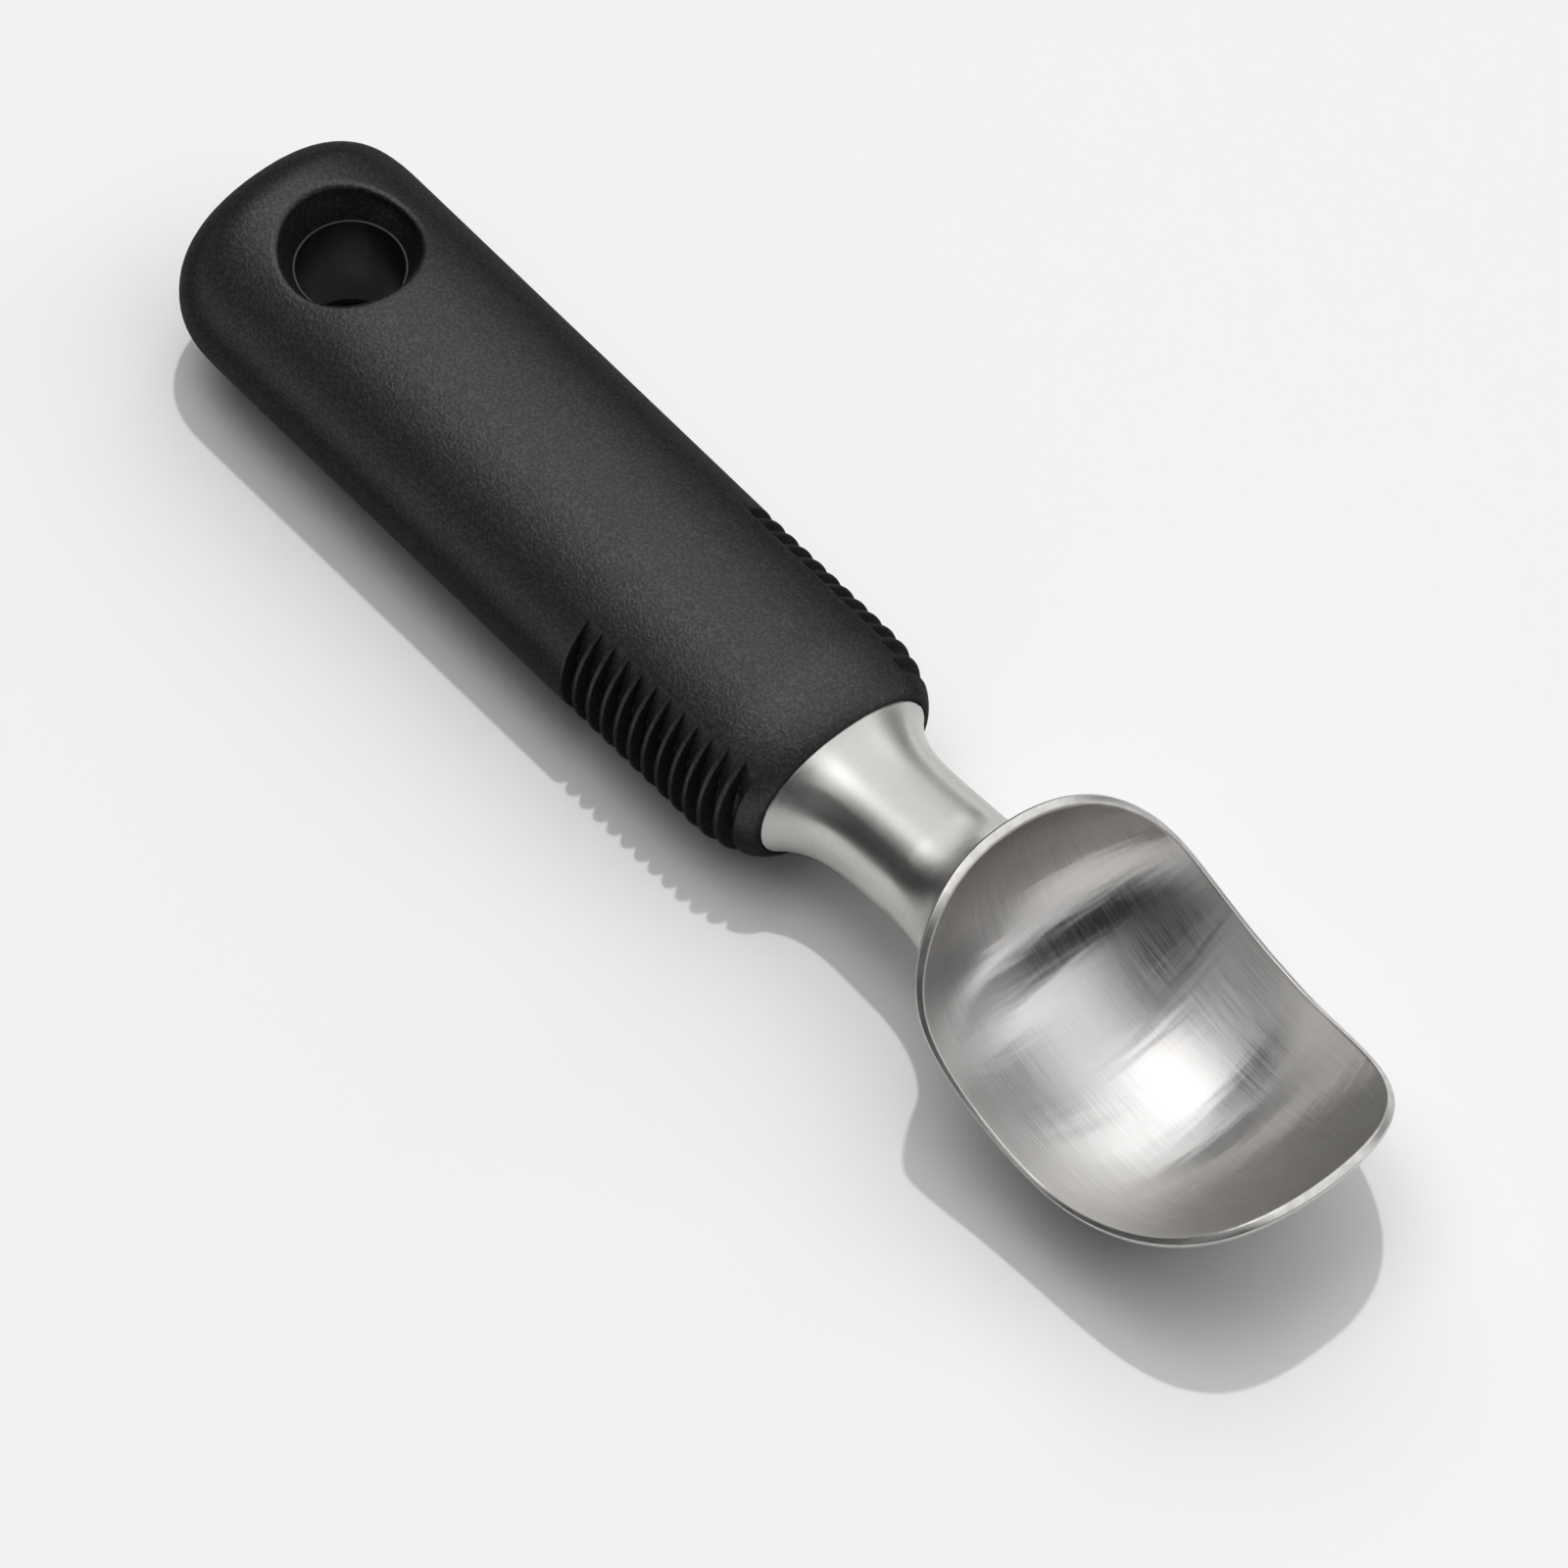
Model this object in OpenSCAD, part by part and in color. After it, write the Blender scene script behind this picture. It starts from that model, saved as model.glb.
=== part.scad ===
// Ice cream scoop: a cast steel bowl, neck and tang, pinned into a rigid core under a soft finned grip.
// Lengths are millimetres. +X runs from the heel of the grip to the tip of the bowl, +Z is up,
// and the origin lies on the table, halfway along the scoop and on its middle plane.

/* [Grip] */
// Length of the soft grip, from its heel to its front lip
grip_len = 116; // [105:1:135]
// Width of the grip at its widest
grip_w = 35.6; // [34:0.2:42]
// Height of the grip
grip_h = 28.2; // [27:0.2:34]
// Squareness of the grip's oval section, where 2 is a plain ellipse
grip_square = 2.15; // [2:0.05:2.6]
// Length of the heel's rounding, seen from above
heel_round_plan = 14.2; // [10:0.2:18]
// Length of the heel's rounding, seen from the side
heel_round_side = 9; // [6:0.2:14]
// Length of the rounding in front, down to the lip
nose_round = 9.5; // [6:0.5:11]
// Thickness of the rubber's edge where it thins out over the steel collar
lip_wall = 0.2; // [0.2:0.1:1.5]
// Rubber behind the rear end of the core
heel_wall = 4; // [3:0.5:8]

/* [Hanging hole] */
// Diameter of the hanging hole through the core
hole_d = 14; // [10:0.5:17]
// Distance of the hanging hole from the heel
hole_setback = 20.6; // [19:0.2:26]
// Height of the core's eye round the hole
eye_h = 17; // [14:0.5:19]
// Wall of the core's eye round the hole
eye_wall = 2.4; // [1.8:0.2:3]
// Width of the bare ring of core at the bottom of each dish
eye_ledge = 0.3; // [0.2:0.1:0.8]
// How much the dish widens on each side between the ring and the grip's surface
dish_flare = 1.7; // [1:0.1:2.4]
// Radius of the rounded lip of each dish
dish_lip = 1; // [0.5:0.1:1.5]

/* [Finger slots] */
// Number of slots on each side
slot_count = 12; // [6:1:13]
// Distance from one slot to the next
slot_pitch = 2.65; // [2.4:0.05:3]
// Width of each slot
slot_w = 1.95; // [1:0.05:2.1]
// Depth of each slot at the middle of the grip's side
slot_depth = 2.6; // [1.2:0.1:2.8]
// Distance from the front lip to the first slot's middle
slot_setback = 3.6; // [3.2:0.1:8]
// Height of the row of slots on the grip's side
slot_reach = 20.4; // [14:0.2:23]

/* [Core] */
// Width of the core at its rear end
core_rear_w = 25.2; // [23.5:0.2:28]
// Height of the core at its rear end, lower than the eye that stands out of it
core_rear_h = 15.4; // [12:0.2:16]
// Clearance between the tang and its socket on each side
socket_clear = 0.1; // [0.05:0.05:0.3]

/* [Collar and neck] */
// Width of the steel collar that fills the grip's mouth
collar_w = 27; // [24:0.5:29]
// Height of the steel collar
collar_h = 20; // [17:0.5:22]
// Depth of the collar inside the grip's mouth
collar_len = 2; // [1:0.25:2.5]
// Width of the neck at its waist
neck_w = 19; // [15:0.1:23]
// Height of the neck at its waist
neck_h = 15.6; // [12:0.1:16.5]
// Distance from the grip's lip to the neck's waist
waist_reach = 15; // [12:0.5:18]
// Distance from the grip's lip to where the neck starts to flare into the bowl
flare_reach = 19; // [18.5:0.5:22]
// Rise of the neck's middle line between the grip's lip and the flare
neck_rise = 1.9; // [0:0.1:3]
// How far the flare spreads up the back of the hood
flare_top = 7; // [4:0.5:8]
// How far the flare spreads to each side
flare_side = 6; // [3:0.5:7]
// How far the flare spreads forward under the belly
flare_belly = 11; // [6:0.5:14]

/* [Bowl] */
// Distance from the grip's lip to the tip of the bowl
bowl_reach = 92.3; // [86:1:104]
// Length of the bowl inside, from the top of the hood to the tip
bowl_len = 59.7; // [54:0.1:66]
// Width of the bowl inside its rim
bowl_w = 43.8; // [38:0.2:50]
// Depth of the bowl's cross section below its side rims
bowl_depth = 13; // [10:0.2:16]
// Height of the hood's rim above the table
hood_h = 35.6; // [31:0.2:40]
// Lean of the hood over the bowl, past upright, in degrees
hood_lean = 18; // [0:1:24]
// Height of the tip above the table
tip_h = 25.7; // [20:0.2:30]
// Slope of the bowl at its tip, in degrees
tip_slope = 64; // [50:1:68]
// Distance from the tip back to the lowest point of the bowl
belly_setback = 28.3; // [24:0.2:34]
// Squareness of the outline at the hood, where 2 is a plain ellipse
hood_square = 3; // [2.4:0.05:3.2]
// Squareness of the outline at the tip
tip_square = 2.45; // [2:0.05:3]
// Wall at the lowest point of the bowl
belly_wall = 2.2; // [1.6:0.1:3.2]
// Thickness of the rim at the hood and at the tip
rim_wall = 1.5; // [1:0.1:2.2]
// Thickness of the rim along the sides
side_wall = 0.8; // [0.6:0.1:1.6]

/* [Tang and pins] */
// Length of the tang behind the collar
tang_len = 68; // [40:1:76]
// Width of the tang
tang_w = 12; // [8:0.5:14]
// Height of the tang
tang_h = 9; // [6:0.5:11]
// Diameter of the cross pins
pin_d = 4; // [2.5:0.25:5]
// Distance from the collar to the front pin
front_pin_setback = 14; // [9:0.5:16]
// Distance between the two pins
pin_spacing = 40; // [20:1:42]
// How far each pin's end stops short of the core's side
pin_inset = 0.8; // [0.4:0.1:2]

/* [Hidden] */
eps = 0.5;
around = 60;             // points round each section
fine = 96;               // segments of true round holes and pins

// Stations along the scoop
overall_len = grip_len + bowl_reach;
heel_x = -overall_len / 2;
lip_x = heel_x + grip_len;
tip_x = lip_x + bowl_reach;
hole_x = heel_x + hole_setback;
seat_x = lip_x - collar_len;
core_rear_x = heel_x + heel_wall;
tang_rear_x = seat_x - tang_len;
first_slot_x = lip_x - slot_setback;
axis_z = grip_h / 2;

// Ease of a rounded end: 0 at its tip, 1 where the full section starts
function rounding(u, squareness) = pow(1 - pow(1 - min(max(u, 0), 1), squareness), 1 / squareness);
function signed_pow(v, p) = sign(v) * pow(abs(v), p);
function mix(a, b, t) = a + (b - a) * t;

// One oval section across X, as points going round from the +Y side
function oval(x, half_w, half_h, z, squareness) = [
    for (i = [0:around - 1])
        let (a = 360 * i / around)
        [x, half_w * signed_pow(cos(a), 2 / squareness), z + half_h * signed_pow(sin(a), 2 / squareness)]
];

// Skin through rings of equal point counts, closed by flat ends
module skin(rings) {
    n = len(rings[0]);
    last = len(rings) - 1;
    sides = [
        for (r = [0:last - 1], i = [0:n - 1])
            let (a = r * n + i, b = r * n + (i + 1) % n)
            each [[a, b + n, b], [a, a + n, b + n]]
    ];
    near_end = [for (i = [0:n - 1]) i];
    far_end = [for (i = [n - 1:-1:0]) last * n + i];
    polyhedron(points = [for (ring = rings) each ring], faces = concat(sides, [near_end, far_end]), convexity = 6);
}

// Grip: the oval bar with its rounded heel and nose
heel_steps = 9;
nose_steps = 7;
nose_ease = 1.7;
lip_half_w = collar_w / 2 + lip_wall;
lip_half_h = collar_h / 2 + lip_wall;
heel_start = 0.02;

function heel_ring(x) = oval(
    x,
    grip_w / 2 * rounding((x - heel_x) / heel_round_plan, 2.6),
    grip_h / 2 * rounding((x - heel_x) / heel_round_side, 2),
    axis_z, grip_square);

function nose_share(x) = rounding((lip_x - x) / nose_round, nose_ease);
function nose_ring(x) = let (k = nose_share(x)) oval(
    x,
    mix(lip_half_w, grip_w / 2, k),
    mix(lip_half_h, grip_h / 2, k),
    axis_z, grip_square);

module grip_body() {
    heel = [for (i = [0:heel_steps]) heel_ring(heel_x + heel_round_plan * pow(mix(heel_start, 1, i / heel_steps), 2))];
    nose = [for (i = [nose_steps:-1:0]) nose_ring(lip_x - nose_round * pow(i / nose_steps, 2))];
    skin(concat(heel, nose));
}

// Slots: each is a slab cut from both sides down to one long shallow arc, drawn in where the nose is
slot_side_y = grip_w / 2 - slot_depth;
slot_edge_z = slot_reach / 2;
slot_edge_y = grip_w / 2 * pow(1 - pow(slot_reach / grip_h, grip_square), 1 / grip_square);
slot_arc_y = (pow(slot_side_y, 2) - pow(slot_edge_y, 2) - pow(slot_edge_z, 2)) / (2 * (slot_side_y - slot_edge_y));
slot_arc_r = slot_side_y - slot_arc_y;
function drawn_in(x) = (grip_w / 2 - lip_half_w) * (1 - nose_share(x));

module slots() {
    for (i = [0:slot_count - 1], side = [-1, 1])
        let (x = first_slot_x - i * slot_pitch)
        translate([x, -side * drawn_in(x), axis_z])
            difference() {
                translate([-slot_w / 2, side > 0 ? 0 : -grip_w, -grip_h])
                    cube([slot_w, grip_w, 2 * grip_h]);
                translate([-slot_w, side * slot_arc_y, 0])
                    rotate([0, 90, 0])
                        cylinder(r = slot_arc_r, h = 2 * slot_w, $fn = fine);
                translate([-slot_w, side > 0 ? -grip_w : 0, -grip_h])
                    cube([2 * slot_w, grip_w, 2 * grip_h]);
            }
}

// Dish above and below the hanging hole, widening from the core's ring to a rounded lip
ring_r = hole_d / 2 + eye_ledge;
dish_rise = axis_z - eye_h / 2;
lip_steps = 6;

module dish() {
    mouth_r = ring_r + dish_flare;
    lip_curve = [
        for (i = [0:lip_steps])
            let (a = 90 * i / lip_steps)
            [mouth_r + dish_lip * (1 - cos(a)), dish_rise - dish_lip * (1 - sin(a))]
    ];
    for (side = [0, 1])
        translate([hole_x, 0, axis_z])
            mirror([0, 0, side])
                translate([0, 0, eye_h / 2])
                    rotate_extrude($fn = fine)
                        polygon(concat([[0, 0], [ring_r, 0]], lip_curve,
                                       [[mouth_r + dish_lip, dish_rise + 1], [0, dish_rise + 1]]));
}

module grip_sleeve() {
    color([0.13, 0.13, 0.14])
        difference() {
            grip_body();
            core_outside();
            skin([oval(seat_x - eps, collar_w / 2, collar_h / 2, axis_z, grip_square),
                  oval(lip_x + eps, collar_w / 2, collar_h / 2, axis_z, grip_square)]);
            slots();
            dish();
        }
}

// Core: a tapered oval bar with a round eye for the hanging hole
core_round = 8;
core_steps = 5;

function core_ring(x) =
    let (t = (seat_x - x) / (seat_x - core_rear_x), k = rounding((x - core_rear_x) / core_round, 2.2))
    oval(x, mix(collar_w, core_rear_w, t) / 2 * k, mix(collar_h, core_rear_h, t) / 2 * k, axis_z, grip_square);

module core_outside() {
    rear = [for (i = [0:core_steps]) core_ring(core_rear_x + core_round * pow(mix(0.1, 1, i / core_steps), 2))];
    skin(concat(rear, [core_ring(seat_x)]));
    translate([hole_x, 0, axis_z - eye_h / 2])
        cylinder(d = hole_d + 2 * eye_wall, h = eye_h, $fn = fine);
}

module handle_core() {
    color([0.2, 0.16, 0.15])
        difference() {
            core_outside();
            translate([hole_x, 0, axis_z - eye_h])
                cylinder(d = hole_d, h = 2 * eye_h, $fn = fine);
            tang_bar(socket_clear);
            pin_bores(collar_w);
        }
}

// Tang and the pins through it
pin_xs = [seat_x - front_pin_setback, seat_x - front_pin_setback - pin_spacing];

module tang_bar(clear) {
    translate([tang_rear_x - clear, -tang_w / 2 - clear, axis_z - tang_h / 2 - clear])
        cube([tang_len + clear + eps, tang_w + 2 * clear, tang_h + 2 * clear]);
}

module pin_bores(span) {
    for (x = pin_xs)
        translate([x, -span / 2, axis_z])
            rotate([-90, 0, 0])
                cylinder(d = pin_d, h = span, $fn = fine);
}

module tang_pins() {
    color("gray")
        for (x = pin_xs)
            let (t = (seat_x - x) / (seat_x - core_rear_x), half = mix(collar_w, core_rear_w, t) / 2 - pin_inset)
            translate([x, -half, axis_z])
                rotate([-90, 0, 0])
                    cylinder(d = pin_d, h = 2 * half, $fn = fine);
}

// Keel: the bowl's inside line on its middle plane, in two curves that meet at the lowest point
keel_steps = 40;
keel_tip = [tip_x - rim_wall * sin(tip_slope), tip_h];
keel_low = [keel_tip[0] - belly_setback, belly_wall];
keel_top = [keel_tip[0] - bowl_len, hood_h];
hood_pull = 0.75 * (hood_h - belly_wall);
tip_pull = 0.52 * (tip_h - belly_wall);
rear_floor_pull = 0.41 * (keel_low[0] - keel_top[0]);
front_floor_pull = 0.4 * belly_setback;

function bezier(p, t) =
    pow(1 - t, 3) * p[0] + 3 * t * pow(1 - t, 2) * p[1] + 3 * t * t * (1 - t) * p[2] + pow(t, 3) * p[3];

rear_curve = [
    keel_top,
    keel_top - hood_pull * [sin(hood_lean), cos(hood_lean)],
    keel_low - [rear_floor_pull, 0],
    keel_low
];
front_curve = [
    keel_low,
    keel_low + [front_floor_pull, 0],
    keel_tip - tip_pull * [cos(tip_slope), sin(tip_slope)],
    keel_tip
];
keel = concat(
    [for (i = [0:keel_steps]) bezier(rear_curve, i / keel_steps)],
    [for (i = [1:keel_steps]) bezier(front_curve, i / keel_steps)]);

// Distance run along the keel from the hood to each of its points
function running(points, i = 0, sum = 0, out = []) =
    i == len(points) ? out :
    let (now = i == 0 ? 0 : sum + norm(points[i] - points[i - 1]))
    running(points, i + 1, now, concat(out, now));
run = running(keel);
keel_len = run[len(run) - 1];
run_to_x = [for (i = [0:len(keel) - 1]) [run[i], keel[i][0]]];
run_to_z = [for (i = [0:len(keel) - 1]) [run[i], keel[i][1]]];
height_to_run = [for (i = [keel_steps:-1:0]) [keel[i][1], run[i]]];

// Slope of the keel in degrees: negative down from the hood, positive up to the tip
function slope(s) =
    let (a = max(s - 0.6, 0), b = min(s + 0.6, keel_len))
    atan2(lookup(b, run_to_z) - lookup(a, run_to_z), lookup(b, run_to_x) - lookup(a, run_to_x));

// The bowl's cross section is an arc that leans back where the rear wall is steep
half_bowl = bowl_w / 2;
section_r = (half_bowl * half_bowl + bowl_depth * bowl_depth) / (2 * bowl_depth);
function sag(y) = section_r - sqrt(section_r * section_r - y * y);
function lean(s) = let (down = max(-slope(s), 0)) 0.9 * down * down / (down + 20);
function inner(s, y) =
    [lookup(s, run_to_x) + sag(y) * sin(lean(s)), y, lookup(s, run_to_z) + sag(y) * cos(lean(s))];

function unit(v) = v / norm(v);
function into_bowl(s, y) =
    let (h = 0.5, a = max(s - h, 0), b = min(s + h, keel_len))
    unit(cross(inner(b, y) - inner(a, y), inner(s, y + h) - inner(s, y - h)));

// How far out toward the rim a place lies: 0 on the middle of the bowl, 1 on the rim
middle = keel_len / 2;
function outward(s, y) =
    let (q = s > middle ? tip_square : hood_square)
    min(1, pow(pow(abs(s - middle) / middle, q) + pow(abs(y) / half_bowl, q), 1 / q));
function rim_at(s) = mix(side_wall, rim_wall, pow(abs(s - middle) / middle, 2));
function wall(s, y) = mix(belly_wall, rim_at(s), pow(outward(s, y), 4));
function outer(s, y) = inner(s, y) - wall(s, y) * into_bowl(s, y);

// The outline of the bowl laid flat, as [distance along the keel, side]
function outline(a) =
    let (q = cos(a) > 0 ? tip_square : hood_square)
    [middle + middle * signed_pow(cos(a), 2 / q), half_bowl * signed_pow(sin(a), 2 / q)];

// Neck sections, from the collar to the start of the flare
neck_steps = 8;
neck_square = 2.3;
function neck_ring_size(u) =
    let (dx = flare_reach * u, k = pow(max(1 - dx / waist_reach, 0), 3.8))
    [dx, mix(neck_w, collar_w, k) / 2, mix(neck_h, collar_h, k) / 2, axis_z + neck_rise * u, k];

// A neck section whose points start at its underside, to match the bowl's outline
function neck_ring(x, half_w, half_h, z, squareness) = [
    for (i = [0:around - 1])
        let (a = 360 * i / around)
        [x, half_w * signed_pow(sin(a), 2 / squareness), z - half_h * signed_pow(cos(a), 2 / squareness)]
];

// Where the neck would meet the back of the bowl, and the wider loop where its flare ends
neck_end_z = axis_z + neck_rise;
foot_top = lookup(neck_end_z + neck_h / 2, height_to_run);
foot_low = lookup(max(neck_end_z - neck_h / 2 + 1.5, belly_wall + 1), height_to_run);
function foot(a) = [mix(foot_top, foot_low, (1 + cos(a)) / 2), neck_w / 2 * sin(a)];
function root(a) = [
    mix(max(foot_top - flare_top, 3.5), foot_low + flare_belly, (1 + cos(a)) / 2),
    (neck_w / 2 + flare_side) * sin(a)
];

flare_steps = 8;
function flare_point(start, a, t) =
    let (f = foot(a), r = root(a), on_foot = outer(f[0], f[1]), on_root = outer(r[0], r[1]))
    let (back = outer(mix(r[0], f[0], 0.02), mix(r[1], f[1], 0.02)) - on_root)
    bezier([start, mix(start, on_foot, 0.62), on_root + 0.55 * back / 0.02, on_root], t);

shell_steps = 12;
bowl_steps = 14;

module head_casting() {
    n = around;
    start = neck_ring(lip_x + flare_reach, neck_w / 2, neck_h / 2, neck_end_z, neck_square);
    collar = [neck_ring(seat_x, collar_w / 2, collar_h / 2, axis_z, grip_square)];
    neck = [
        for (i = [0:neck_steps])
            let (g = neck_ring_size(pow(i / neck_steps, 1.5)))
            neck_ring(lip_x + g[0], g[1], g[2], g[3], mix(neck_square, grip_square, g[4]))
    ];
    flare = [
        for (j = [1:flare_steps])
            [for (i = [0:n - 1]) flare_point(start[i], 360 * i / n, j / flare_steps)]
    ];
    shell = [
        for (j = [1:shell_steps])
            [for (i = [0:n - 1])
                let (a = 360 * i / n, p = mix(root(a), outline(a), j / shell_steps))
                outer(p[0], p[1])]
    ];
    bowl = [
        for (j = [0:bowl_steps - 1])
            [for (i = [0:n - 1])
                let (p = mix(outline(360 * i / n), [middle, 0], j / bowl_steps))
                inner(p[0], p[1])]
    ];
    rings = concat(collar, neck, flare, shell, bowl);
    last = len(rings) - 1;
    sides = [
        for (r = [0:last - 1], i = [0:n - 1])
            let (a = r * n + i, b = r * n + (i + 1) % n)
            each [[a, b + n, b], [a, a + n, b + n]]
    ];
    collar_face = [for (i = [0:n - 1]) i];
    centre = len(rings) * n;
    floor_fan = [for (i = [0:n - 1]) [last * n + i, centre, last * n + (i + 1) % n]];
    polyhedron(
        points = concat([for (ring = rings) each ring], [inner(middle, 0)]),
        faces = concat([collar_face], sides, floor_fan),
        convexity = 8);
}

module scoop_head() {
    color([0.76, 0.76, 0.74])
        difference() {
            union() {
                head_casting();
                tang_bar(0);
            }
            pin_bores(tang_w + 2);
        }
}

scoop_head();
handle_core();
grip_sleeve();
tang_pins();
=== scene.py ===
"""Dresses the packed ice cream scoop: a brushed steel head in a soft finned grip.

The scoop lies along X on the table at Z = 0, with its heel at low X and its bowl at high X.
Sizes in the classes are millimetres, and the meshes are written in metres.
"""

import logging
import math
from dataclasses import dataclass, field
from enum import IntEnum
from typing import Any, List, Mapping, Optional, Sequence, Tuple, Union

import bmesh
import bpy
import numpy as np
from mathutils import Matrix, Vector


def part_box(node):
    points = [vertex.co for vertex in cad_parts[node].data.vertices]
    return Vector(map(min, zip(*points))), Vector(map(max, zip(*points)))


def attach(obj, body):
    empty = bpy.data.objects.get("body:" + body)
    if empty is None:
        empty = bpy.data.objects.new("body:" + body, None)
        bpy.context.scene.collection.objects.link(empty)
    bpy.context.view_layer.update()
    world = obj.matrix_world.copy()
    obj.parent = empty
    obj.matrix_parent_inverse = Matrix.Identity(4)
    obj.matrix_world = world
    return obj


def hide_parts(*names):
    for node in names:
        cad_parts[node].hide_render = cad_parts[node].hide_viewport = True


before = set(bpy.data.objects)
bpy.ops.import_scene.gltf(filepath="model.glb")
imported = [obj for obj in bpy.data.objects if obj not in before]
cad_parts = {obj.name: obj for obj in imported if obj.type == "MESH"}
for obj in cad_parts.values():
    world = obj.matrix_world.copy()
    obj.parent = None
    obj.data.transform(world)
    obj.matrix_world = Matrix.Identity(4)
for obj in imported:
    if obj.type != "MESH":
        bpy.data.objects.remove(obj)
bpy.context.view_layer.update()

LOG = logging.getLogger("scoop")
Colour = Tuple[float, float, float]
Scale = Tuple[float, float, float]
Pair = Tuple[float, float]
Socket = Union[str, int]
Material = bpy.types.Material
Piece = bpy.types.Object

MM = 0.001
LAY = "lay"
MIX_FIRST_COLOUR = 6
MIX_SECOND_COLOUR = 7
MIX_COLOUR_OUT = 2
NOISE_LOW = 0.3
NOISE_HIGH = 0.7
HOLE_SETBACK = 20.6
SIDES = (1, -1)


def mix(a: Any, b: Any, share: Any) -> Any:
    """Goes from a to b by a share, for numbers and arrays."""
    return a + (b - a) * share


def rounding(share: Any, ease: float) -> Any:
    """Gives the share of its full size that a rounded end has reached.

    Args:
        share: How far in from the end, from 0 to 1 over the rounding.
        ease: The exponent of the curve, where 2 is a quarter ellipse.

    Returns:
        The share of the full size, from 0 to 1.
    """
    held = np.clip(share, 0.0, 1.0)
    return (1.0 - (1.0 - held) ** ease) ** (1.0 / ease)


def signed_power(value: np.ndarray, power: float) -> np.ndarray:
    """Raises the size of each value to a power and keeps its sign."""
    return np.sign(value) * np.abs(value) ** power


def unit(rows: np.ndarray) -> np.ndarray:
    """Scales each row to length 1."""
    return rows / np.linalg.norm(rows, axis=1, keepdims=True)


def full_turn(count: int) -> np.ndarray:
    """Gives evenly spaced angles all the way round."""
    return np.linspace(0, 2 * math.pi, count, endpoint=False)


def direction(azimuth: float, elevation: float) -> Vector:
    """Gives a direction from degrees round from +X towards +Y, and up from the table."""
    turn, rise = math.radians(azimuth), math.radians(elevation)
    return Vector((math.cos(turn) * math.cos(rise), math.sin(turn) * math.cos(rise), math.sin(rise)))


def put(name: str, data: bpy.types.ID, toward: Optional[Vector] = None) -> Piece:
    """Puts a new object in the scene.

    Args:
        name: Its name.
        data: Its mesh, lamp or camera.
        toward: Where a lamp or camera looks, if it is turned.

    Returns:
        The object.
    """
    made = bpy.data.objects.new(name, data)
    bpy.context.scene.collection.objects.link(made)
    if toward is not None:
        made.rotation_mode = "QUATERNION"
        made.rotation_quaternion = toward.to_track_quat("-Z", "Y")
    return made


def bezier(points: Sequence[np.ndarray], share: Any) -> np.ndarray:
    """Gives the point of a cubic curve at a share of its way.

    Args:
        points: Its two ends, with the two pulling points between them.
        share: The share of its way.

    Returns:
        The point.
    """
    rest = 1.0 - share
    return (rest ** 3 * points[0] + 3 * share * rest ** 2 * points[1]
            + 3 * share ** 2 * rest * points[2] + share ** 3 * points[3])


def oval(x: float, half_w: float, half_h: float, z: float, square: float,
         angles: np.ndarray) -> np.ndarray:
    """Makes one oval section square to X.

    Args:
        x: Where the section stands.
        half_w: Half its width, along Y.
        half_h: Half its height, along Z.
        z: Height of its middle.
        square: Its squareness, where 2 is an ellipse.
        angles: Angles of its points, counted from +Y towards +Z.

    Returns:
        One row of X, Y and Z for each angle.
    """
    y = half_w * signed_power(np.cos(angles), 2 / square)
    up = half_h * signed_power(np.sin(angles), 2 / square)
    return np.stack([np.full_like(angles, x), y, z + up], axis=1)


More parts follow.
